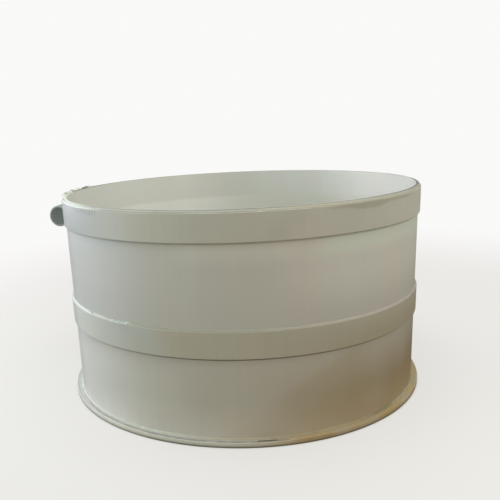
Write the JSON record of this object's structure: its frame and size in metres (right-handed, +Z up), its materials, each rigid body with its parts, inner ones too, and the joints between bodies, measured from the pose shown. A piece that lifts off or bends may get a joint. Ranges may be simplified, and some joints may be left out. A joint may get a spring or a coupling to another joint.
{
  "type": "vacuum filter tank",
  "caption": "Round open-topped vacuum filter tank welded from polypropylene sheet, with reinforcing bands, a perforated false bottom, a side vacuum header and a drain.",
  "frame": {"origin": "centre of the base plate's underside, on the floor", "axes": "+Z up along the tank's axis, the front with the plain wall faces -Y, the vacuum header is on the -X side"},
  "size_m": [1.6781, 1.6379, 0.858],
  "materials": {
    "natural_sheet": "rolled polypropylene sheet, satin, slightly translucent",
    "band_strip": "polypropylene strip, satin with fine scratches",
    "weld_bead": "hand-extruded polypropylene weld, shiny and uneven",
    "filter_plate": "drilled polypropylene plate, satin",
    "fabricated_sheet": "sawn polypropylene sheet, satin",
    "grey_pvc": "dark grey hard PVC pipe, smooth",
    "pipe_strap": "bent polypropylene strip, satin"
  },
  "bodies": {
    "root": {"base_plate": "natural_sheet", "shell_front_sheet": "natural_sheet", "shell_rear_sheet": "natural_sheet", "right_seam_weld": "weld_bead", "left_seam_weld": "weld_bead", "rim_band_front": "band_strip", "rim_band_rear": "band_strip", "mid_band_front": "band_strip", "mid_band_rear": "band_strip", "rim_band_weld": "weld_bead", "mid_band_weld": "weld_bead", "base_outer_weld": "weld_bead", "rim_top_weld": "weld_bead", "base_inner_weld": "weld_bead", "filter_plate_weld": "weld_bead", "plate_ledge": "fabricated_sheet", "centre_post": "fabricated_sheet", "filter_plate_rear": "filter_plate", "filter_plate_left": "filter_plate", "filter_plate_front": "filter_plate", "filter_plate_right": "filter_plate", "support_rib_rear_right": "fabricated_sheet", "support_rib_rear_left": "fabricated_sheet", "support_rib_front_left": "fabricated_sheet", "support_rib_front_right": "fabricated_sheet", "header_front_pipe": "grey_pvc", "header_rear_pipe": "grey_pvc", "header_end_cap": "grey_pvc", "header_coupling": "grey_pvc", "vacuum_tee": "grey_pvc", "vacuum_riser": "grey_pvc", "vacuum_elbow": "grey_pvc", "vacuum_nozzle": "grey_pvc", "vacuum_nozzle_pad": "fabricated_sheet", "header_front_bracket": "fabricated_sheet", "header_front_strap": "pipe_strap", "header_rear_bracket": "fabricated_sheet", "header_rear_strap": "pipe_strap", "riser_bracket": "fabricated_sheet", "riser_strap": "pipe_strap", "drain_nozzle": "fabricated_sheet", "drain_nozzle_pad": "fabricated_sheet", "drain_flange": "fabricated_sheet"}
  },
  "joints": []
}
